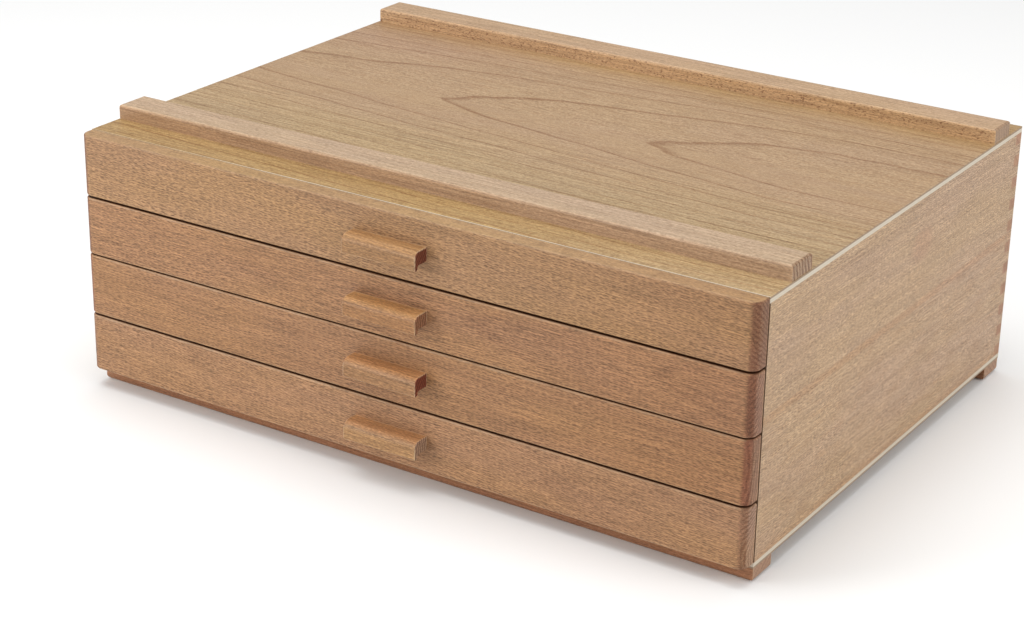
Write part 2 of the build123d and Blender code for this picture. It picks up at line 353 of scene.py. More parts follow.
def make_wear_and_highlight_group():
    """Worn edges and painted edge highlights: paler wood within a short reach of the edges of a
    board, given by two opposite corners of its box in millimetres."""
    tree, given, result = new_group(
        "worn and highlit edges",
        [
            ("Vector", VECTOR, (0.0, 0.0, 0.0)),
            ("Low", VECTOR, (0.0, 0.0, 0.0)),
            ("High", VECTOR, (1.0, 1.0, 1.0)),
            ("Reach", FLOAT, 1.0),
            ("Strength", FLOAT, 0.5),
            ("Color", COLOUR, tone(180, 145, 110)),
            ("Worn", COLOUR, tone(215, 185, 150)),
        ],
        [("Color", COLOUR)],
    )
    # How far the second nearest pair of faces is tells how far the nearest edge is.
    from_low = combined(tree, "SUBTRACT", given["Vector"], given["Low"])
    from_high = combined(tree, "SUBTRACT", given["High"], given["Vector"])
    in_x, in_y, in_z = split(tree, combined(tree, "MINIMUM", from_low, from_high))
    nearer = calc(tree, "MINIMUM", in_x, in_y)
    further = calc(tree, "MAXIMUM", in_x, in_y)
    second = calc(tree, "MAXIMUM", nearer, calc(tree, "MINIMUM", further, in_z))
    patchy = noise(tree, scaled(tree, given["Vector"], 0.09), 3.0, 0.6)
    reach = times(tree, given["Reach"], add_up(tree, 1.0, (patchy, 2.2)))
    wear_and_highlight = times(tree, rise(tree, second, reach, 0.0), given["Strength"], clamp=True)
    put(tree, result["Color"], mixed(tree, wear_and_highlight, given["Color"], given["Worn"]))
    return tree


# Counted in plies from the outer face: where the face veneer ends, and where the glue line
# inside the board starts and stops.
VENEER_END, GLUE_START, GLUE_STOP = (0.75, 1.1), (1.9, 2.0), (2.15, 2.05)


def make_ply_group():
    """The sawn edge of a plywood board: a thin face veneer on the outer side, and a paler
    core. Ply is how thick one of the three layers is, below zero where they are counted
    downwards."""
    tree, given, result = new_group(
        "plywood edge",
        [
            ("Vector", VECTOR, (0.0, 0.0, 0.0)),
            ("Outer", FLOAT, 0.0),
            ("Ply", FLOAT, 1.0),
            ("Edge", FLOAT, 0.0),
            ("Color", COLOUR, tone(190, 160, 125)),
            ("Veneer", COLOUR, tone(147, 126, 104)),
            ("Core", COLOUR, tone(199, 188, 170)),
        ],
        [("Color", COLOUR)],
    )
    x, y, z = split(tree, given["Vector"])
    level = over(tree, minus(tree, z, given["Outer"]), given["Ply"])
    uneven = noise(tree, join(tree, times(tree, x, 0.12), times(tree, y, 0.12), level), 3.0, 0.7)
    level = add_up(tree, level, (uneven, 0.4))
    ply = mixed(tree, rise(tree, level, *VENEER_END), given["Veneer"], given["Core"])
    glue = times(tree, rise(tree, level, *GLUE_START), rise(tree, level, *GLUE_STOP))
    speck = times(tree, noise(tree, scaled(tree, given["Vector"], 1.7), 3.0, 0.7), 1.3)
    marks = calc(tree, "MAXIMUM", times(tree, glue, 0.35), limited(tree, speck))
    ply = mixed(tree, marks, ply, scaled(tree, ply, 0.6))
    edge = rise(tree, given["Edge"], 0.5, 0.85)
    put(tree, result["Color"], mixed(tree, edge, given["Color"], ply))
    return tree


figure_group = make_figure_group()
wear_and_highlight_group = make_wear_and_highlight_group()
ply_group = make_ply_group()


# ---------------------------------------------------------------- woods

# Pale wood, deeper wood, fleck, rounded end and flat end.
TAN_FRONT = dict(
    Pale=tone(178, 138, 97), Deep=tone(119, 86, 57), Fleck=tone(76, 46, 29),
    Cut_End=tone(138, 97, 70), Flat_End=tone(143, 107, 82),
)
PINK_FRONT = dict(
    Pale=tone(173, 130, 91), Deep=tone(117, 79, 52), Fleck=tone(72, 41, 27),
    Cut_End=tone(130, 87, 61), Flat_End=tone(156, 120, 96),
)
ROSY_FRONT = dict(
    Pale=tone(172, 129, 89), Deep=tone(121, 83, 54), Fleck=tone(74, 43, 28),
    Cut_End=tone(142, 93, 67), Flat_End=tone(151, 117, 92),
)
DUSKY_FRONT = dict(
    Pale=tone(178, 136, 98), Deep=tone(122, 85, 57), Fleck=tone(74, 44, 28),
    Cut_End=tone(151, 111, 82), Flat_End=tone(165, 132, 107),
)
GOLDEN_PULL = dict(Pale=tone(182, 141, 98), Deep=tone(138, 98, 64), Fleck=tone(104, 66, 38))
PALE_SIDE = dict(
    Pale=tone(190, 160, 128), Deep=tone(140, 110, 81), Fleck=tone(96, 68, 46),
    Cut_End=tone(132, 102, 80), Flat_End=tone(112, 86, 68),
)
BACK_BOARD = dict(PALE_SIDE, Flat_End=tone(170, 130, 104))
RAIL_WOOD = dict(
    Pale=tone(192, 161, 128), Deep=tone(141, 111, 82), Fleck=tone(98, 66, 46),
    Cut_End=tone(158, 128, 102), Flat_End=tone(162, 134, 109),
)
PALE_RAIL = dict(RAIL_WOOD, Pale=tone(190, 164, 136), Deep=tone(146, 118, 91))
FOOT_WOOD = dict(
    Pale=tone(178, 138, 105), Deep=tone(128, 91, 65), Fleck=tone(92, 60, 42),
    Cut_End=tone(152, 115, 90), Flat_End=tone(170, 134, 108),
)
TOP_VENEER = dict(
    Pale=tone(181, 153, 120), Deep=tone(132, 96, 64), Fleck=tone(112, 82, 56),
    Cut_End=tone(175, 150, 120), Flat_End=tone(175, 150, 120),
)
INNER_WOOD = dict(
    Pale=tone(184, 152, 118), Deep=tone(142, 108, 78), Fleck=tone(112, 78, 54),
    Cut_End=tone(148, 112, 86), Flat_End=tone(156, 122, 96),
)
# paler worn wood, which also paints highlights along the edges
WORN_AND_HIGHLIT_WOOD = tone(196, 166, 132)
GRAIN_LINE = (0.8, 0.76, 0.7)  # the tint of a fine dark line in the grain

GRAIN_X, GRAIN_Y = 0.0, -90.0  # the turn, in degrees, that lays the grain along X

# How squarely a face looks along an axis: where an effect starts and where it is full.
LEVEL_FACE, LONG_FACE, END_FACE = (0.7, 0.95), (0.5, 0.95), (0.3, 0.75)

# How strongly a surface is raised, and how far in metres.
WOOD_RELIEF, STEEL_RELIEF = (0.35, 0.0002), (0.15, 0.00005)
CLOUDS_PER_MM, SCRATCHES_PER_MM = 1.1, 9.0  # on the steel


def new_material(name):
    material = bpy.data.materials.new(name)
    material.use_nodes = True
    tree = material.node_tree
    return material, tree, tree.nodes["Principled BSDF"]


def raised(tree, shader, height, relief):
    """Raises the surface by the height, with the strength and depth of that relief."""
    node = tree.nodes.new("ShaderNodeBump")
    node.inputs["Strength"].default_value = relief[0]
    node.inputs["Distance"].default_value = relief[1]
    put(tree, node.inputs["Height"], height)
    put(tree, shader.inputs["Normal"], node.outputs[0])


def box_mm(node):
    """The lowest and highest corners of a CAD node in millimetres."""
    low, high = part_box(node)
    return tuple(value * MM_PER_M for value in low), tuple(value * MM_PER_M for value in high)


def wooden(
    name, node, grain, heart, tones, wear_and_highlight=0.45, reach=0.9, shape_place=None, finish=None,
    level_flecks=1.0, **figure
):
    """A beech material for one board. heart is a point on the heart line of its log in
    millimetres, and level_flecks is the share of the flecks that its level faces show. Its worn
    edges carry painted highlights too, and the finish of some boards paints light and shade."""
    material, tree, shader = new_material(name)
    source = tree.nodes.new("ShaderNodeTexCoord")
    place_mm = scaled(tree, source.outputs["Object"], MM_PER_M)
    facing = split(tree, source.outputs["Normal"])

    turned = tree.nodes.new("ShaderNodeMapping")
    turned.inputs["Scale"].default_value = (MM_PER_M,) * 3
    turned.inputs["Rotation"].default_value = (0.0, 0.0, math.radians(grain))
    shifted = Matrix.Rotation(math.radians(grain), 3, "Z") @ Vector(heart)
    turned.inputs["Location"].default_value = -shifted
    put(tree, turned.inputs["Vector"], source.outputs["Object"])
    place = turned.outputs[0]
    if shape_place:
        place = shape_place(tree, place, place_mm)

    end = size_of(tree, facing[0] if grain == GRAIN_X else facing[1])
    flecks = figure.pop("Fleck_Strength")
    flecks = rise(tree, size_of(tree, facing[2]), *LEVEL_FACE, flecks, flecks * level_flecks)
    look = use_group(
        tree, figure_group, Vector=place, End=end, Fleck_Strength=flecks, **tones, **figure
    )
    low, high = box_mm(node)
    # worn edges, with painted highlights along them
    colour = use_group(
        tree, wear_and_highlight_group, Vector=place_mm, Low=low, High=high, Reach=reach, Strength=wear_and_highlight,
        Color=look["Color"], Worn=WORN_AND_HIGHLIT_WOOD,
    )["Color"]
    if finish:
        colour = finish(tree, colour, place_mm, facing)
    put(tree, shader.inputs["Base Color"], colour)
    put(tree, shader.inputs["Roughness"], look["Roughness"])
    raised(tree, shader, look["Height"], WOOD_RELIEF)
    shader.inputs["Specular IOR Level"].default_value = 0.35
    return material


def steel(name):
    """Bright zinc-plated steel for the screws and pins, a little uneven."""
    material, tree, shader = new_material(name)
    source = tree.nodes.new("ShaderNodeTexCoord")
    place_mm = scaled(tree, source.outputs["Object"], MM_PER_M)
    cloud = noise(tree, scaled(tree, place_mm, CLOUDS_PER_MM), 3.0, 0.6)
    scratch = noise(tree, scaled(tree, place_mm, SCRATCHES_PER_MM), 2.0, 0.6)
    level = limited(tree, add_up(tree, 0.5, (cloud, 1.2), (scratch, 0.5)))
    colour = mixed(tree, level, tone(150, 146, 138), tone(206, 203, 194))
    put(tree, shader.inputs["Base Color"], colour)
    put(tree, shader.inputs["Roughness"], add_up(tree, 0.34, (cloud, 0.25), (scratch, 0.2)))
    raised(tree, shader, scratch, STEEL_RELIEF)
    shader.inputs["Metallic"].default_value = 1.0
    return material


def dress(node, material):
    """Gives a CAD node its finish."""
    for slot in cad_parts[node].material_slots:
        slot.material = material


# ---------------------------------------------------------------- the top and bottom panels

TOP_FACE_MM = box_mm("top_panel")[1][2]
ARCH_Y_MM = 15.2  # the middle line of the arched figure on the top panel
ARCH_HEART_MM = 134.0  # how deep under the face the heart of that log lies, at the middle
ARCH_LEAN = 0.0346  # how fast that heart sinks towards the right
ARCH_POWER = 0.8  # how blunt the tips are
FRONT_SPREAD, REAR_SPREAD = 2.35, 1.33  # how narrow an arch is, on each side of its middle
FAR_NARROWING = 2.8e-5  # narrower still, by the cube of the way behind the middle
LEAN_END_MM, LEAN_EASE_MM = 140.0, -77.0  # the X past which the lean ends or eases
LEAN_EASED = ARCH_LEAN / 4.0
MIDDLE_BLEND_MM = (-6.0, 6.0)  # where the front spread gives way to the rear one


def arched(tree, place, place_mm):
    """Shapes the arches of the top panel: narrower in front of the middle line than behind
    it, closer together far behind it, and with only two tips, because the log's lean ends
    near the right edge and eases near the left."""
    x, y, z = split(tree, place)
    spread = rise(tree, y, *MIDDLE_BLEND_MM, FRONT_SPREAD, REAR_SPREAD)
    away = times(tree, calc(tree, "POWER", size_of(tree, y), ARCH_POWER), spread)
    near = times(tree, away, calc(tree, "SIGN", y))
    far = calc(tree, "POWER", calc(tree, "MAXIMUM", y, 0.0), 3.0)
    past_right = calc(tree, "MAXIMUM", minus(tree, x, LEAN_END_MM), 0.0)
    past_left = calc(tree, "MINIMUM", minus(tree, x, LEAN_EASE_MM), 0.0)
    level = add_up(tree, z, (past_right, ARCH_LEAN), (past_left, LEAN_EASED))
    return join(tree, x, add_up(tree, near, (far, FAR_NARROWING)), level)


FRONT_VENEER, REAR_VENEER = (1.0, 1.05, 0.99), (0.99, 0.97, 0.78)
PINK_VENEER = (0.98, 0.93, 1.0)
# The strip in front of the front batten: yellow at the left, and painted light that brightens it
# towards the right.
STRIP_YELLOW_LEFT, STRIP_PAINTED_LIGHT_RIGHT = (0.98, 0.9, 0.7, 1.0), (1.1, 1.1, 1.08, 1.0)
RUBBED_EDGE = tone(216, 203, 184)
LINE_LENGTH_MM, LINE_WIDTH_MM = 130.0, 1.9
STREAK_LENGTH_MM, STREAK_WIDTH_MM = 110.0, 1.1

# Where these come in, in millimetres: each pair is where one starts and where it is full,
# behind the middle line of the arches, or along X where the name says so.
FRONT_TINT_MM, REAR_TINT_MM = (-20.0, -90.0), (80.0, 115.0)
FRONT_LINES_MM, REAR_LINES_MM = (-10.0, -60.0), (30.0, 90.0)
PINK_MM, PINK_X_MM = (30.0, 80.0), (-30.0, -150.0)
STRIP_X_MM, RUBBED_X_MM = (-20.0, 220.0), (-170.0, -60.0)


def veneered(tree, colour, place_mm, facing):
    """Finely lined in front and at the rear, yellow in front of the batten and at the rear, with
    painted light that brightens the strip in front of the batten towards the right, pinker at
    the rear left, and pale where its front edge is rubbed and on its plywood edges."""
    x, y, _ = split(tree, place_mm)
    behind = minus(tree, y, ARCH_Y_MM)
    colour = cast(tree, rise(tree, behind, *FRONT_TINT_MM), colour, FRONT_VENEER)
    colour = cast(tree, rise(tree, behind, *REAR_TINT_MM), colour, REAR_VENEER)

    in_front = rise(tree, behind, *FRONT_LINES_MM)
    at_rear = rise(tree, behind, *REAR_LINES_MM, 0.0, 0.8)
    outer = calc(tree, "MAXIMUM", in_front, at_rear)
    cells = join(tree, over(tree, x, LINE_LENGTH_MM), over(tree, y, LINE_WIDTH_MM), 3.0)
    lines = times(tree, rise(tree, noise(tree, cells, 1.0), 0.04, 0.2), outer)
    colour = cast(tree, lines, colour, GRAIN_LINE)
    cells = join(tree, over(tree, x, STREAK_LENGTH_MM), over(tree, y, STREAK_WIDTH_MM), 9.0)
    streaks = times(tree, noise(tree, cells, 0.0), outer)
    colour = scaled(tree, colour, add_up(tree, 1.0, (streaks, 0.4)))

    # yellow towards the left, painted light towards the right
    strip_yellow_and_light = mixed(tree, rise(tree, x, *STRIP_X_MM), STRIP_YELLOW_LEFT, STRIP_PAINTED_LIGHT_RIGHT)
    batten_front = box_mm("front_top_batten")[0][1]
    ahead = rise(tree, y, batten_front + 2.0, batten_front)
    colour = mixed(tree, ahead, colour, tinted(tree, colour, strip_yellow_and_light))
    pink = times(tree, rise(tree, x, *PINK_X_MM), rise(tree, behind, *PINK_MM))
    colour = cast(tree, times(tree, pink, 0.7), colour, PINK_VENEER)

    edge = box_mm("top_panel")[0][1]
    by_edge = rise(tree, y, edge + 1.0, edge + 0.55)
    rubbed = times(tree, by_edge, rise(tree, x, *RUBBED_X_MM, 0.2, 0.65))
    colour = mixed(tree, rubbed, colour, RUBBED_EDGE)
    return plied(tree, colour, place_mm, facing, box_mm("top_panel"), face_up=True)


def plied(tree, colour, place_mm, facing, box, face_up=False):
    """Shows the layers on the edges of a plywood board, with its face veneer above or below."""
    edge = minus(tree, 1.0, size_of(tree, facing[2]))
    ply = (box[1][2] - box[0][2]) / 3.0
    outer = box[1][2] if face_up else box[0][2]
    return use_group(
        tree, ply_group, Vector=place_mm, Outer=outer, Ply=-ply if face_up else ply,
        Edge=edge, Color=colour,
    )["Color"]


def ply_finish(node):
    """The finish that shows the plies on the edges of that node."""
    box = box_mm(node)
    return lambda tree, colour, place_mm, facing: plied(tree, colour, place_mm, facing, box)


def dress_top_panel():
    dress("top_panel", wooden(
        "top_panel_veneer", "top_panel", GRAIN_X, (0.0, ARCH_Y_MM, TOP_FACE_MM - ARCH_HEART_MM),
        TOP_VENEER, wear_and_highlight=0.0, shape_place=arched, finish=veneered, Lean=(0.0, 0.0, -ARCH_LEAN),
        Ring_Width=4.4, Ring_Shift=0.905, Ring_Strength=0.8, Ring_Line=0.9, Crowding=0.0,
        Wander=0.9, Fleck_Strength=0.4, Fibre=0.9, Mottle=1.3, Grit=0.45, Lines=0.3,
        Patches=0.15, Blush=0.5, Seed=1.0,
    ))


def dress_bottom_panel():
    dress("bottom_panel", wooden(
        "bottom_panel_veneer", "bottom_panel", GRAIN_X, (0.0, -30.0, -120.0), TOP_VENEER,
        wear_and_highlight=0.0, finish=ply_finish("bottom_panel"), Lean=(0.0, 0.0, 0.03), Ring_Width=5.0,
        Ring_Strength=0.6, Fleck_Strength=0.25, Seed=2.0,
    ))


# ---------------------------------------------------------------- the sides and the back

SIDE_JOINT_MM = 85.0  # how high the two boards glued into each side meet
JOINT_BLUR_MM = 0.05
UPPER_SHIFT = (137.0, 11.0, -70.0)  # in mm, to another part of the log
BLISTER, RED_BAND, SIDE_SPOT = (0.94, 0.9, 0.86), (0.97, 0.88, 0.8), (1.0, 0.92, 0.93)
UPPER_BAND_MM = (SIDE_JOINT_MM - 5.0, SIDE_JOINT_MM - 3.5)  # where it starts and is full
LOWER_BAND_MM = (17.0, 12.0)

# Along Y and upwards: the size of a fine line and of a blister, and where the redder spot
# is and half its size.
SIDE_LINE_MM, BLISTER_MM = (70.0, 0.75), (16.0, 3.2)
SPOT_AT_MM, SPOT_HALF_MM = (32.0, 116.0), (14.0, 10.0)


def on_upper_board(tree, z):
    return rise(tree, z, SIDE_JOINT_MM - JOINT_BLUR_MM, SIDE_JOINT_MM + JOINT_BLUR_MM)


def glued(tree, place, place_mm):
    """Gives the upper of two glued boards a figure of its own."""
    upper = on_upper_board(tree, split(tree, place_mm)[2])
    return combined(tree, "ADD", place, scaled(tree, UPPER_SHIFT, upper))


def side_finish(tree, colour, place_mm, facing):
    """Fine level lines on the upper board, broad blisters on the lower, redder bands under
    the joint and low down, and one redder spot."""
    x, y, z = split(tree, place_mm)
    upper = on_upper_board(tree, z)
    lower = minus(tree, 1.0, upper)
    cells = join(tree, over(tree, y, SIDE_LINE_MM[0]), x, over(tree, z, SIDE_LINE_MM[1]))
    lines = times(tree, rise(tree, noise(tree, cells, 1.0), 0.0, 0.2), upper)
    colour = cast(tree, times(tree, lines, 0.6), colour, GRAIN_LINE)
    cells = join(tree, over(tree, y, BLISTER_MM[0]), x, over(tree, z, BLISTER_MM[1]))
    blisters = times(tree, rise(tree, noise(tree, cells, 2.0), -0.05, 0.2), lower)
    colour = cast(tree, blisters, colour, BLISTER)
    band = times(tree, rise(tree, z, *UPPER_BAND_MM), lower)
    low_down = rise(tree, z, *LOWER_BAND_MM, 0.0, 0.8)
    red = calc(tree, "MAXIMUM", times(tree, band, 0.8), low_down)
    colour = cast(tree, red, colour, RED_BAND)
    aside = over(tree, minus(tree, y, SPOT_AT_MM[0]), SPOT_HALF_MM[0])
    above = over(tree, minus(tree, z, SPOT_AT_MM[1]), SPOT_HALF_MM[1])
    away = add_up(tree, times(tree, aside, aside), (above, above))
    return cast(tree, rise(tree, away, 1.3, 0.2, 0.0, 0.8), colour, SIDE_SPOT)


def dress_sides():
    for index, (side, outward) in enumerate((("left", -1.0), ("right", 1.0))):
        node = side + "_side_panel"
        low, high = box_mm(node)
        middle = 0.5 * (low[0] + high[0])
        dress(node, wooden(
            node + "_beech", node, GRAIN_Y, (middle - outward * 70.0, 0.0, 40.0), PALE_SIDE,
            wear_and_highlight=0.15, shape_place=glued, finish=side_finish, Lean=(0.0, 0.01, 0.03),
            Ring_Width=4.0, Ring_Strength=0.12, Fleck_Strength=0.8, Fibre=0.6, Mottle=0.8,
            Grit=1.0, Lines=0.5, Patches=0.2, Seed=3.0 + index,
        ))


def dress_back_panel():
    dress("back_panel", wooden(
        "back_panel_beech", "back_panel", GRAIN_X, (0.0, 90.0, 50.0), BACK_BOARD, wear_and_highlight=0.15,
        Lean=(0.0, 0.02, -0.02), Ring_Width=4.0, Ring_Strength=0.3, Fleck_Strength=0.5,
        Seed=5.0,
    ))


# ---------------------------------------------------------------- battens, feet and runners

# Painted shade on the long faces of the feet; on the battens' long faces a tone of their own with
# painted light.
FOOT_FACE_PAINTED_SHADE, BATTEN_FACE_TONE_AND_LIGHT = (0.88, 0.72, 0.63), (1.16, 1.09, 0.95)
PIT, PIT_LENGTH_MM, PIT_HEIGHT_MM = tone(108, 67, 42), 1.6, 0.65
# painted shade on the front face of the front batten, darker at the left than at the right
RIB_PAINTED_SHADE_LEFT, RIB_PAINTED_SHADE_RIGHT = (0.88, 0.75, 0.62, 1.0), (1.04, 0.97, 0.94, 1.0)
RIB_SPAN_MM = (-190.0, 190.0)  # from where the left painted shade is full to where the right one is
RIB_RING, RIB_PITCH_MM, RIB_CENTRE_MM = (0.6, 0.5, 0.44), 2.8, (-500.0, 60.0)
RING_BEND_MM = 2.2  # how far the rings on an end waver


def on_long_faces(tree, facing):
    return rise(tree, size_of(tree, facing[1]), *LONG_FACE)


def foot_painted_shade(tree, colour, place_mm, facing):
    """Painted shade: the long faces of the feet are darker than their ends."""
    return cast(tree, on_long_faces(tree, facing), colour, FOOT_FACE_PAINTED_SHADE)


def pitted(tree, colour, place_mm, facing):
    """A long face in a tone of its own, made lighter with painted light, crowded with fine reddish
    pits.
    """
    x, y, z = split(tree, place_mm)
    ahead = on_long_faces(tree, facing)
    # the long faces' own tone, with painted light
    colour = cast(tree, ahead, colour, BATTEN_FACE_TONE_AND_LIGHT)
    cells = join(tree, over(tree, x, PIT_LENGTH_MM), y, over(tree, z, PIT_HEIGHT_MM))
    pits = noise(tree, cells, 1.0)
    pits = times(tree, rise(tree, pits, 0.07, 0.19), ahead)
    return mixed(tree, times(tree, pits, 0.7), colour, PIT)


def ringed_ends(tree, colour, place_mm, facing, centre_mm, pitch_mm, tint):
    """Dark rings across the end grain, round a centre given across and upwards."""
    x, y, z = split(tree, place_mm)
    bend = noise(tree, join(tree, x, times(tree, y, 0.2), times(tree, z, 0.2)), 2.0)
    across, above = minus(tree, y, centre_mm[0]), minus(tree, z, centre_mm[1])
    away = add_up(tree, distance(tree, across, above), (bend, RING_BEND_MM))
    wave = calc(tree, "SINE", times(tree, away, math.tau / pitch_mm))
    ends = rise(tree, size_of(tree, facing[0]), *END_FACE)
    return cast(tree, times(tree, rise(tree, wave, -0.3, 0.8), ends), colour, tint)


def ribbed(tree, colour, place_mm, facing):
    """Painted shade in front, darker to the left and paler to the right, and with rings that stand
    almost upright on the ends.
    """
    right = rise(tree, split(tree, place_mm)[0], *RIB_SPAN_MM)
    # painted shade across the front face
    shade = mixed(tree, right, RIB_PAINTED_SHADE_LEFT, RIB_PAINTED_SHADE_RIGHT)
    ahead = rise(tree, facing[1], -0.5, -0.95)
    colour = mixed(tree, ahead, colour, tinted(tree, colour, shade))
    return ringed_ends(tree, colour, place_mm, facing, RIB_CENTRE_MM, RIB_PITCH_MM, RIB_RING)


# For each rail: the heart of its log in millimetres, its tones, its finish, which paints light
# and shade on its long faces, and how strong its flecks are.
RAILS = {
    "front_top_batten": ((0.0, -200.0, 90.0), PALE_RAIL, ribbed, 0.3),
    "rear_top_batten": ((0.0, 60.0, 132.0), RAIL_WOOD, pitted, 0.25),
    "front_foot_rail": ((0.0, -90.0, -40.0), FOOT_WOOD, foot_painted_shade, 0.5),
    "rear_foot_rail": ((0.0, 100.0, -50.0), FOOT_WOOD, foot_painted_shade, 0.5),
}


def dress_rails():
    for index, (node, (heart, tones, finish, flecks)) in enumerate(RAILS.items()):
        dress(node, wooden(
            node + "_beech", node, GRAIN_X, heart, tones, wear_and_highlight=0.3, finish=finish,
            Lean=(0.0, 0.004, 0.01), Ring_Width=3.0, Ring_Strength=0.25, End_Rings=1.0,
            Fleck_Strength=flecks, Fibre=1.2, Mottle=1.2, Grit=0.5, Lines=0.6, Patches=0.15,
            Blush=0.5, Seed=6.0 + index,
        ))


def dress_runners():
    for node in sorted(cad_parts):
        if "_runner_" in node:
            draw = random.Random(node)
            low, _ = box_mm(node)
            heart = (low[0] + draw.uniform(-60, 60), 0.0, low[2] - draw.uniform(40, 90))
            dress(node, wooden(
                node + "_beech", node, GRAIN_Y, heart, INNER_WOOD, wear_and_highlight=0.3, Ring_Width=3.5,
                Ring_Strength=0.3, Fleck_Strength=0.5, Seed=draw.uniform(0, 50),
            ))


def dress_fixings():
    finish = steel("zinc_plated_steel")
    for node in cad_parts:
        if node.endswith("_screws") or node == "runner_pins":
            dress(node, finish)


# ---------------------------------------------------------------- the drawer fronts

# For each front, from the top: its tones, the heart of its log in millimetres, the lean of
# the grain, how strong its fibres and its fine lines are, and where the rings on its ends
# centre, in millimetres behind and above the low corner of its box.
FRONTS = {
    1: dict(
        tones=TAN_FRONT, heart=(0.0, -60.0, 150.0), lean=(0.0, 0.0, 0.045),
        fibre=0.25, lines=0.6, centre=(60.0, 75.0),
    ),
    2: dict(
        tones=PINK_FRONT, heart=(0.0, -75.0, 100.0), lean=(0.0, 0.03, 0.01),
        fibre=0.25, lines=1.0, centre=(-55.0, 60.0),
    ),
    3: dict(
        tones=ROSY_FRONT, heart=(0.0, -65.0, 40.0), lean=(0.0, 0.01, 0.02),
        fibre=0.25, lines=0.8, centre=(-90.0, 20.0),
    ),
    4: dict(
        tones=DUSKY_FRONT, heart=(0.0, -85.0, 30.0), lean=(0.0, 0.035, 0.05),
        fibre=0.5, lines=0.7, centre=(16.0, 6.0),
    ),
}
TOP_FRONT, LOWEST_FRONT = min(FRONTS), max(FRONTS)
FLECK_PITCH_MM = 1.2  # how far apart the rows of flecks stand on the fronts
FRONT_RING, FRONT_RING_PITCH_MM = (0.72, 0.62, 0.56), 1.9
RIGHT_END_HUE_AND_SHADE = (0.96, 0.92, 0.9)  # the upper three fronts redden and darken towards the right: the wood's hue and painted shade
LIP_PAINTED_LIGHT = (1.05, 1.14, 1.14)  # painted light on the upper edge of the top front, which faces up, paler than its face
UNDER_GAP_PAINTED_SHADE, OVER_GAP_PAINTED_SHADE = (0.3, 0.21, 0.2), (0.11, 0.07, 0.07)  # painted shade under and over a gap
RIGHT_END_MM = (60.0, 190.0)  # where that redness and painted shade start and where they are full
# How squarely these three look up, or down where it is below zero.
LIP_FACE, UNDER_GAP_FACE, OVER_GAP_FACE = (0.6, 0.95), (0.93, 0.995), (-0.7, -0.95)


def front_rings_and_painted_light(number, node):
    """Rings on the ends, redness with painted shade towards the right, and painted light and shade
    on the edges above and below: a pale painted lip on the top front, and between two fronts
    painted shade on the edge under the gap and darker painted shade on the one over it."""
    low, _ = box_mm(node)
    across, above = FRONTS[number]["centre"]
    centre_mm = (low[1] + across, low[2] + above)

    def finish(tree, colour, place_mm, facing):
        colour = ringed_ends(
            tree, colour, place_mm, facing, centre_mm, FRONT_RING_PITCH_MM, FRONT_RING
        )
        if number != LOWEST_FRONT:
            # redder towards the right, with painted shade
            right = rise(tree, split(tree, place_mm)[0], *RIGHT_END_MM)
            colour = cast(tree, right, colour, RIGHT_END_HUE_AND_SHADE)
            # darker painted shade on the edge over the gap
            colour = cast(tree, rise(tree, facing[2], *OVER_GAP_FACE), colour, OVER_GAP_PAINTED_SHADE)
        if number == TOP_FRONT:
            # painted light on the upper edge of the top front
            return cast(tree, rise(tree, facing[2], *LIP_FACE), colour, LIP_PAINTED_LIGHT)
        # painted shade on the edge under the gap
        return cast(tree, rise(tree, facing[2], *UNDER_GAP_FACE), colour, UNDER_GAP_PAINTED_SHADE)

    return finish


def dress_fronts():
    for number, front in FRONTS.items():
        node = "drawer_%d_front" % number
        heart = front["heart"]
        low, high = box_mm(node)
        away = math.hypot(low[1] - heart[1], 0.5 * (low[2] + high[2]) - heart[2])
        dress(node, wooden(
            node + "_beech", node, GRAIN_X, heart, front["tones"],
            wear_and_highlight=0.2 if number == TOP_FRONT else 0.45, reach=1.2,
            finish=front_rings_and_painted_light(number, node), level_flecks=0.3, Lean=front["lean"],
            Ring_Width=4.2, Ring_Strength=0.2, End_Rings=0.6, Fleck_Strength=0.75,
            Fleck_Width=FLECK_PITCH_MM * RAY_RADIUS_MM / away, Fibre=front["fibre"],
            Mottle=0.7, Grit=0.9, Lines=front["lines"], Patches=0.25, Seed=10.0 + number,
        ))


# ---------------------------------------------------------------- the pulls

# For each pull, from the top: its end grain, dark red-brown or greyer, the painted light on
# its top and the painted shade on its front face, and how far above its low edge the rings on its
# ends centre.
PULLS = {
    1: dict(end=tone(126, 68, 49), top=(0.97, 0.95, 0.9), face_painted_shade=(0.78, 0.76, 0.74), above_mm=50.0),
    2: dict(end=tone(158, 114, 86), top=(1.26, 1.2, 1.09), face_painted_shade=(0.82, 0.74, 0.67), above_mm=20.0),
    3: dict(end=tone(136, 71, 51), top=(1.2, 1.08, 0.98), face_painted_shade=(0.83, 0.8, 0.79), above_mm=50.0),
    4: dict(end=tone(182, 150, 125), top=(1.2, 1.1, 1.04), face_painted_shade=(0.98, 0.99, 0.93), above_mm=20.0),
}
PULL_RING, PULL_RING_PITCH_MM = (0.5, 0.42, 0.37), 1.7
PULL_RING_AHEAD_MM = 60.0  # how far in front of the pulls those rings centre


def pull_painted_light_and_rings(number):
    """Painted light on top, painted shade on the front face, and streaked across its ends."""
    pull = PULLS[number]
    low, _ = box_mm("drawer_%d_pull" % number)
    centre_mm = (low[1] - PULL_RING_AHEAD_MM, low[2] + pull["above_mm"])

    def finish(tree, colour, place_mm, facing):
        # painted light on the top
        colour = cast(tree, rise(tree, facing[2], 0.4, 0.95), colour, pull["top"])
        # painted shade on the front face
        colour = cast(tree, rise(tree, facing[1], -0.6, -0.95), colour, pull["face_painted_shade"])
        return ringed_ends(
            tree, colour, place_mm, facing, centre_mm, PULL_RING_PITCH_MM, PULL_RING
        )

    return finish


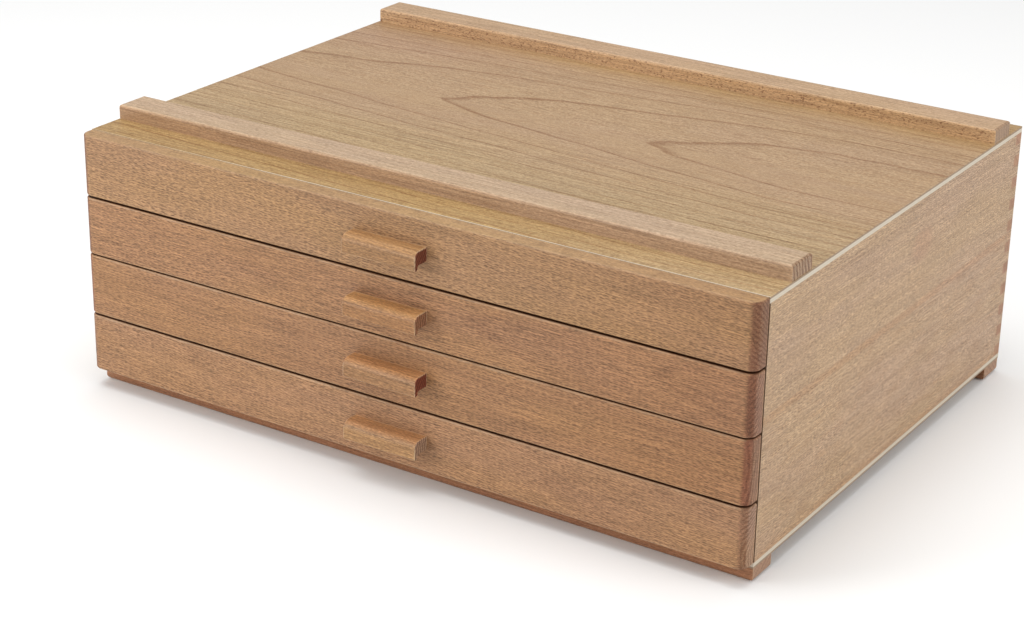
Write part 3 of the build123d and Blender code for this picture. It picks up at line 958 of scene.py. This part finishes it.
def dress_pulls():
    for number, pull in PULLS.items():
        node = "drawer_%d_pull" % number
        low, high = box_mm(node)
        tones = dict(GOLDEN_PULL, Flat_End=pull["end"], Cut_End=pull["end"])
        dress(node, wooden(
            node + "_beech", node, GRAIN_X, (0.0, high[1] + 30.0, low[2] - 70.0), tones,
            wear_and_highlight=0.9, reach=0.75, finish=pull_painted_light_and_rings(number), Lean=(0.0, 0.02, 0.02),
            Ring_Width=2.8, Ring_Strength=0.3, Fleck_Strength=0.4, Fibre=0.8, Mottle=0.8,
            Grit=1.0, Lines=0.8, Seed=20.0 + number * 3,
        ))


# ---------------------------------------------------------------- the drawer boxes


def dress_boxes():
    """Sides along Y, backs and dividers along X, and plywood bottoms."""
    for number in FRONTS:
        for part in ("left_side", "right_side", "back", "divider", "bottom"):
            node = "drawer_%d_%s" % (number, part)
            draw = random.Random(node)
            low, _ = box_mm(node)
            lengthways = part.endswith("_side")
            aside = draw.uniform(40, 80)
            if lengthways:
                heart = (low[0] + aside, 0.0, low[2] + draw.uniform(-30, 30))
            else:
                heart = (0.0, low[1] + aside, low[2] - draw.uniform(10, 60))
            if part == "bottom":
                heart = (0.0, draw.uniform(-60, 60), low[2] - 120.0)
            dress(node, wooden(
                node + ("_veneer" if part == "bottom" else "_beech"), node,
                GRAIN_Y if lengthways else GRAIN_X, heart, INNER_WOOD, wear_and_highlight=0.3,
                finish=ply_finish(node) if part == "bottom" else None,
                Lean=(0.0, 0.0, draw.uniform(-0.03, 0.03)), Ring_Width=draw.uniform(3.5, 5.0),
                Ring_Strength=0.4, Fleck_Strength=0.4, Seed=draw.uniform(0, 50),
            ))


dress_top_panel()
dress_bottom_panel()
dress_sides()
dress_back_panel()
dress_rails()
dress_runners()
dress_fixings()
dress_fronts()
dress_pulls()
dress_boxes()


# ---------------------------------------------------------------- floor, light and camera

FLOOR_SIZE = 14.0
SKY_STRENGTH = 0.52
LIGHTS_AIM = (0.0, 0.0, 0.08)

# For each softbox: where it stands, how wide and how high it is, and its watts.
SOFTBOXES = {
    "overhead_softbox": ((-0.1, -0.12, 1.9), (1.6, 1.6), 24.0),
    "right_softbox": ((2.0, 0.1, 0.9), (1.4, 1.2), 17.0),
    "left_front_softbox": ((-0.9, -1.1, 0.55), (0.7, 0.7), 10.0),
}


def floor():
    bpy.ops.object.select_all(action="DESELECT")
    bpy.ops.mesh.primitive_plane_add(size=FLOOR_SIZE, location=(0.0, 0.0, 0.0))
    plane = bpy.context.object
    plane.name = "studio_floor"
    material, tree, shader = new_material("matte_white_floor")
    source = tree.nodes.new("ShaderNodeTexCoord")
    cloud = noise(tree, scaled(tree, source.outputs["Object"], 3.0), 2.0)
    level = limited(tree, add_up(tree, 0.5, (cloud, 0.5)))
    colour = mixed(tree, level, tone(240, 240, 240), tone(244, 244, 243))
    put(tree, shader.inputs["Base Color"], colour)
    shader.inputs["Roughness"].default_value = 0.9
    shader.inputs["Specular IOR Level"].default_value = 0.1
    plane.data.materials.append(material)


def area_light(name, place, size, watts):
    """A soft rectangle of light that faces the middle of the box."""
    data = bpy.data.lights.new(name, "AREA")
    data.shape = "RECTANGLE"
    data.size, data.size_y = size
    data.energy = watts
    light = bpy.data.objects.new(name, data)
    bpy.context.scene.collection.objects.link(light)
    light.location = place
    way = Vector(LIGHTS_AIM) - Vector(place)
    light.rotation_euler = way.to_track_quat("-Z", "Y").to_euler()


def lights():
    world = bpy.data.worlds.new("studio_white")
    world.use_nodes = True
    background = world.node_tree.nodes["Background"]
    background.inputs["Color"].default_value = (1.0, 1.0, 1.0, 1.0)
    background.inputs["Strength"].default_value = SKY_STRENGTH
    bpy.context.scene.world = world
    for name, (place, size, watts) in SOFTBOXES.items():
        area_light(name, place, size, watts)


# The camera that the photograph's lines meet: where it stands, how it turns and its lens.
EYE_MM = (619.8, -1002.7, 538.1)
AZIMUTH, ELEVATION, ROLL = 32.69, 22.84, 1.02  # degrees
LENS_MM, SENSOR_MM = 82.28, 36.0


def camera():
    data = bpy.data.cameras.new("camera")
    data.lens = LENS_MM
    data.sensor_width = SENSOR_MM
    data.sensor_fit = "HORIZONTAL"
    data.clip_start, data.clip_end = 0.01, 50.0
    data.dof.use_dof = False
    eye = bpy.data.objects.new("camera", data)
    bpy.context.scene.collection.objects.link(eye)
    eye.location = Vector(EYE_MM) / MM_PER_M
    eye.rotation_euler = (
        Matrix.Rotation(math.radians(AZIMUTH), 3, "Z")
        @ Matrix.Rotation(math.radians(90.0 - ELEVATION), 3, "X")
        @ Matrix.Rotation(math.radians(ROLL), 3, "Z")
    ).to_euler()
    bpy.context.scene.camera = eye


floor()
lights()
camera()
bpy.context.scene.view_settings.view_transform = "Standard"
bpy.context.scene.view_settings.look = "None"
